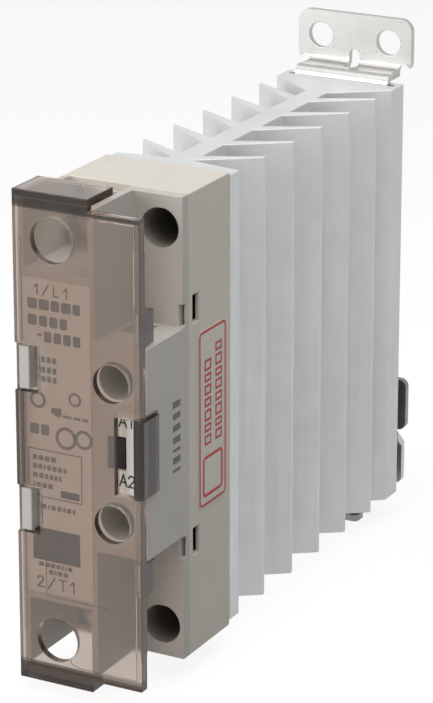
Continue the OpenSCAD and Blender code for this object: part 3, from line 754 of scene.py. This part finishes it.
# ---------------------------------------------------------------- printing on the front
# pen strokes of the terminal marks, in parts of their height
GLYPHS = {
    "1": [[(0.0, 0.72), (0.28, 1.0), (0.28, 0.0)]],
    "2": [[(0.0, 0.76), (0.07, 0.92), (0.27, 1.0), (0.47, 0.93), (0.54, 0.74), (0.46, 0.55),
           (0.0, 0.0), (0.57, 0.0)]],
    "/": [[(0.0, -0.06), (0.62, 1.06)]],
    "L": [[(0.0, 1.0), (0.0, 0.0), (0.5, 0.0)]],
    "T": [[(0.0, 1.0), (0.62, 1.0)], [(0.31, 1.0), (0.31, 0.0)]],
    "A": [[(0.0, 0.0), (0.33, 1.0), (0.66, 0.0)], [(0.12, 0.34), (0.54, 0.34)]],
}


def stroke_into(bm, points, w, place, mat=0):
    """A pen line of width w through points, with square ends."""
    for (ax, az), (bx, bz) in zip(points, points[1:]):
        d = Vector((bx - ax, bz - az)).normalized() * (w / 2)
        n = Vector((-d.y, d.x))
        a, b = Vector((ax, az)) - d, Vector((bx, bz)) + d
        patch_into(bm, [tuple(q) for q in (a - n, b - n, b + n, a + n)], place, mat)


def mark_into(bm, text, x, z, h, w, place, step=0.3, wide=1.0, mat=0):
    """Terminal marks drawn with plain strokes."""
    for c in text:
        for line in GLYPHS[c]:
            stroke_into(bm, [(x + a * h * wide, z + b * h) for a, b in line], w, place, mat)
        x += (max(a for line in GLYPHS[c] for a, b in line) * wide + step) * h


def words(bm, place, u, v, h, lengths, gap=0.45, mat=0):
    """A row of plain blocks in place of a line of letters."""
    for w in lengths:
        patch_into(bm, round_corners((u, v), (u + w, v + h), min(h, w) * 0.2, 3), place, mat)
        u += w + gap


# seen through the cover
bm = bmesh.new()
ink = front_plane(2.081)
mark_into(bm, "1/L1", -8.3, 62.6, 1.55, 0.24, ink, 0.62, 1.1)
mark_into(bm, "2/T1", -8.6, 13.55, 1.75, 0.26, ink, 0.5, 1.1)
add_object("front_marks", bm, "root", None, "ink_black", smooth=False)

bm = bmesh.new()
words(bm, ink, -9.6, 60.1, 1.75, (1.75, 1.85, 1.55, 1.75, 1.35), 0.3)
words(bm, ink, -9.6, 57.4, 1.75, (1.65, 1.45, 1.45, 1.35), 0.4)
words(bm, ink, -8.0, 55.75, 0.4, (0.9,), 0.4)
words(bm, ink, -6.7, 54.9, 1.75, (1.35, 1.35, 1.35, 1.35), 0.38)
for z in (51.5, 49.8, 48.3):
    words(bm, ink, -9.35, z, 1.0, (0.75, 0.75, 0.7, 0.7, 0.7), 0.3)
ring_into(bm, -8.0, 45.2, 1.45, 0.5, ink)
words(bm, ink, -5.6, 43.2, 1.1, (1.9,))
ring_into(bm, -1.3, 46.2, 1.15, 0.4, ink)
words(bm, ink, -5.0, 42.9, 0.45, (1.2, 1.6, 1.3, 1.1), 0.3)
words(bm, ink, -9.5, 39.4, 1.8, (1.6, 1.5), 0.4)
ring_into(bm, -3.0, 39.5, 1.9, 0.55, ink)
ring_into(bm, 0.2, 39.8, 1.6, 0.5, ink)
outline_into(bm, rectangle(-10.0, 28.9, -0.15, 37.0), 0.2, ink)
for z, ws in ((35.1, (0.8, 0.9, 0.9, 0.9)), (33.6, (0.75, 0.75, 0.35, 0.75, 0.75, 0.75, 0.6)),
              (32.1, (0.85, 0.85, 0.6, 0.6, 0.6, 0.5)), (30.5, (0.4, 0.8, 0.8, 0.85))):
    words(bm, ink, -9.1, z, 0.85, ws, 0.24)
words(bm, ink, -8.3, 27.0, 0.8, (0.5, 0.8, 0.3, 0.8, 0.8, 0.4, 0.8, 0.5), 0.28)
words(bm, ink, -8.3, 17.1, 0.75, (0.9, 0.8, 0.8, 0.7, 0.4, 0.3, 0.8), 0.24)
words(bm, ink, -6.4, 15.95, 0.75, (0.7, 0.4, 0.8, 0.8), 0.24)
add_object("front_print", bm, "root", None, "ink_grey", smooth=False)

# the dark field with paler rows of blocks on it
bm = bmesh.new()
patch_into(bm, rectangle(-9.3, 18.2, -0.7, 23.7), ink)
patch_into(bm, rectangle(-4.1, 29.4, -0.7, 30.6), ink)
top = front_plane(2.062, 0.01)
for z, ws in ((21.8, (0.7, 0.7, 0.7, 0.7, 0.6)), (20.2, (0.8, 0.8, 0.6, 0.7, 0.3)),
              (18.7, (0.6, 0.7, 0.7, 0.3))):
    words(bm, top, -7.6, z, 0.85, ws, 0.28, 1)
add_object("front_field", bm, "root", None, "ink_black", "ink_pale", smooth=False)

# white field and marks beside the indicator
bm = bmesh.new()
field = front_plane(2.2, 0.03)
patch_into(bm, rectangle(6.3, 32.0, 10.6, 35.8), field)
patch_into(bm, rectangle(6.3, 41.4, 10.6, 45.6), field)
patch_into(bm, rectangle(7.5, 35.8, 10.6, 41.4), field)
add_object("mark_field", bm, "root", None, "ink_white", smooth=False)
bm = bmesh.new()
marks = front_plane(2.165, 0.02)
mark_into(bm, "A1", 6.3, 43.1, 1.85, 0.25, marks, 0.22)
mark_into(bm, "A2", 6.3, 33.25, 1.85, 0.25, marks, 0.2)
add_object("terminal_marks", bm, "root", None, "ink_black", smooth=False)

# ---------------------------------------------------------------- painted shadow lines of the ledges inside the cover
bm = bmesh.new()
ledge = front_plane(1.325, 0.03)
stroke_into(bm, [(-6.5, 19.5), (-6.5, 12.5), (4.8, 12.5)], 0.13, ledge)
stroke_into(bm, [(-2.3, 2.6), (-2.0, 1.6), (-0.7, 1.15), (2.3, 1.15)], 0.1, ledge)
stroke_into(bm, [(-1.8, 76.2), (2.3, 76.2)], 0.1, ledge)
add_object("cover_ledge_painted_shadows", bm, "cover", None, "ledge_shadow", smooth=False)

# ---------------------------------------------------------------- printing on the right side
bm = bmesh.new()
side = side_plane(11.2505)
v = 33.3
for h in (0.5, 1.1, 0.5, 1.1, 1.1, 1.0, 1.1):
    patch_into(bm, rectangle(10.3, v, 12.7, v + h), side)
    v += h + 0.9
add_object("side_print", bm, "root", None, "ink_grey", smooth=False)

bm = bmesh.new()
red = side_plane(11.371)
outline_into(bm, round_corners((18.75, 24.2), (27.65, 53.9), 0.9, 5), 0.42, red)
outline_into(bm, round_corners((19.9, 25.6), (26.6, 32.6), 1.0, 5), 0.55, red)
for u, end in ((20.5, 48.8), (24.1, 51.0)):
    v = 34.4
    for h in cycle((1.7, 1.4, 1.9, 1.5)):
        if v >= end:
            break
        outline_into(bm, rectangle(u, v, u + 2.2, v + h), 0.4, red)
        v += h + 0.5
add_object("side_label_print", bm, "root", None, "ink_red", smooth=False)

# ---------------------------------------------------------------- stage, light and camera
FLOOR_Z = -4.05     # just under the jaw's foot
bm = bmesh.new()
bmesh.ops.create_grid(bm, x_segments=1, y_segments=1, size=3.0)
me = bpy.data.meshes.new("floor")
bm.to_mesh(me)
bm.free()
floor = bpy.data.objects.new("floor", me)
bpy.context.scene.collection.objects.link(floor)
floor.location = (0, 0, at(0, 0, FLOOR_Z).z)


def by_ray(nt, seen, thrown):
    """One value for what the camera and reflections see, another for the light that the
    part's surfaces gather."""
    path = node(nt, "ShaderNodeLightPath")
    m = node(nt, "ShaderNodeMapRange")
    m.inputs["To Min"].default_value = seen
    m.inputs["To Max"].default_value = thrown
    nt.links.new(path.outputs["Is Diffuse Ray"], m.inputs["Value"])
    return m.outputs["Result"]


m, nt, p = new_material("floor_white")
p.inputs["Base Color"].default_value = (0.22, 0.22, 0.22, 1)
p.inputs["Roughness"].default_value = 0.8
p.inputs["Specular IOR Level"].default_value = 0.1
p.inputs["Emission Color"].default_value = (1, 1, 1, 1)
nt.links.new(by_ray(nt, 0.86, 0.06), p.inputs["Emission Strength"])
floor.data.materials.append(m)

world = bpy.data.worlds.new("studio")
bpy.context.scene.world = world
world.use_nodes = True
bg = world.node_tree.nodes["Background"]
bg.inputs["Color"].default_value = (1, 1, 1, 1)
world.node_tree.links.new(by_ray(world.node_tree, 0.88, 0.06), bg.inputs["Strength"])


def aim(o, place, target):
    """Puts a light at a place, turned towards a target."""
    o.location = place
    o.rotation_euler = (Vector(target) - Vector(place)).to_track_quat("-Z", "Y").to_euler()
    bpy.context.scene.collection.objects.link(o)


def softbox(name, place, target, size, power):
    li = bpy.data.lights.new(name, "AREA")
    li.shape = "RECTANGLE"
    li.size, li.size_y = size
    li.energy = power
    aim(bpy.data.objects.new(name, li), place, target)


centre = at(0, 45, 38)
softbox("overhead", centre + Vector((0.06, -0.04, 0.29)), centre, (0.40, 0.40), 0.90)
softbox("key_front", centre + Vector((-0.50, -0.82, 0.25)), centre, (0.6, 0.6), 6.0)

cam_data = bpy.data.cameras.new("camera")
cam = bpy.data.objects.new("camera", cam_data)
bpy.context.scene.collection.objects.link(cam)
az, el = math.radians(28.17), math.radians(17.42)
target = Vector((-0.00175, -0.0469, 0.0206))
distance = 0.536
back = Vector((math.sin(az) * math.cos(el), -math.cos(az) * math.cos(el), math.sin(el)))
cam.location = target + back * distance
cam.rotation_euler = back.to_track_quat("Z", "Y").to_euler()
cam_data.sensor_fit = "AUTO"
cam_data.sensor_width = 36
cam_data.lens = 164.8
cam_data.shift_y = -0.15
cam_data.clip_start = 0.01
cam_data.clip_end = 20
bpy.context.scene.camera = cam
bpy.context.scene.view_settings.view_transform = "Standard"
